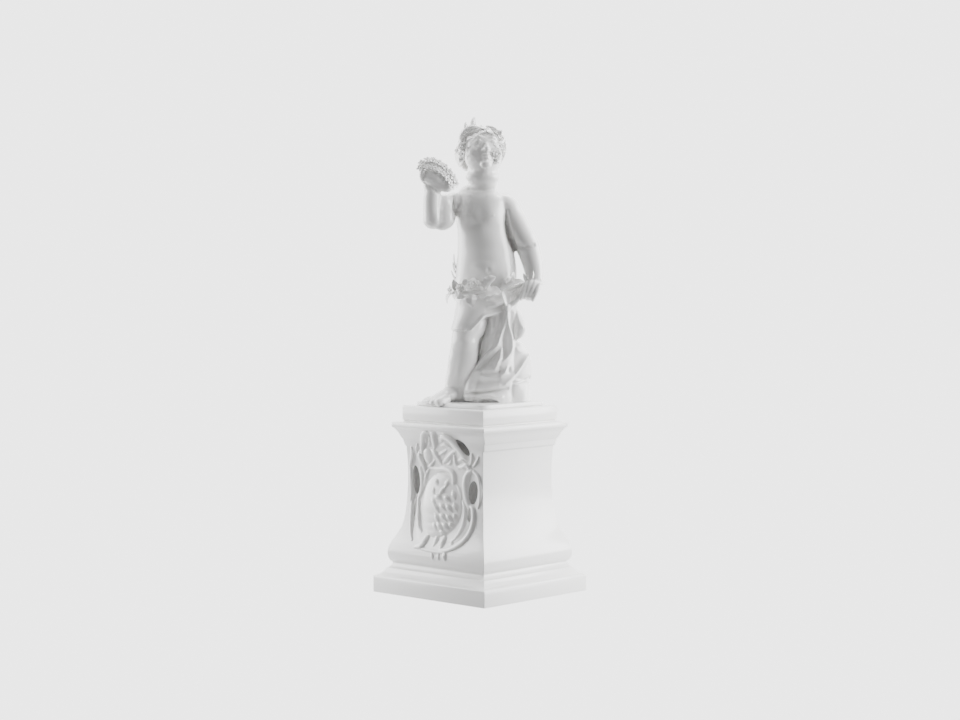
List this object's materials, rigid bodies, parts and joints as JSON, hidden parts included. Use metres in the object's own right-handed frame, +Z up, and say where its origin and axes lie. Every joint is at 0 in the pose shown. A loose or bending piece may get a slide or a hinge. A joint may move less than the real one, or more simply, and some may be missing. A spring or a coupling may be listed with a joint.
{
  "type": "porcelain cherub figurine",
  "caption": "White glazed porcelain child with a flower wreath, raised bouquet, garland and draped cloth, standing on a square waisted pedestal with a relief cartouche.",
  "frame": {"origin": "middle of the plinth's underside, on the surface that the figurine stands on", "axes": "+Z up, -Y out of the pedestal's front face with the cartouche, +X to the right of that face"},
  "size_m": [0.096, 0.096, 0.3001],
  "materials": {
    "pedestal_glaze": "clear gloss glaze over white porcelain",
    "figure_glaze": "clear gloss glaze over white porcelain"
  },
  "bodies": {
    "root": {"pedestal": "pedestal_glaze", "cherub": "figure_glaze"}
  },
  "joints": []
}
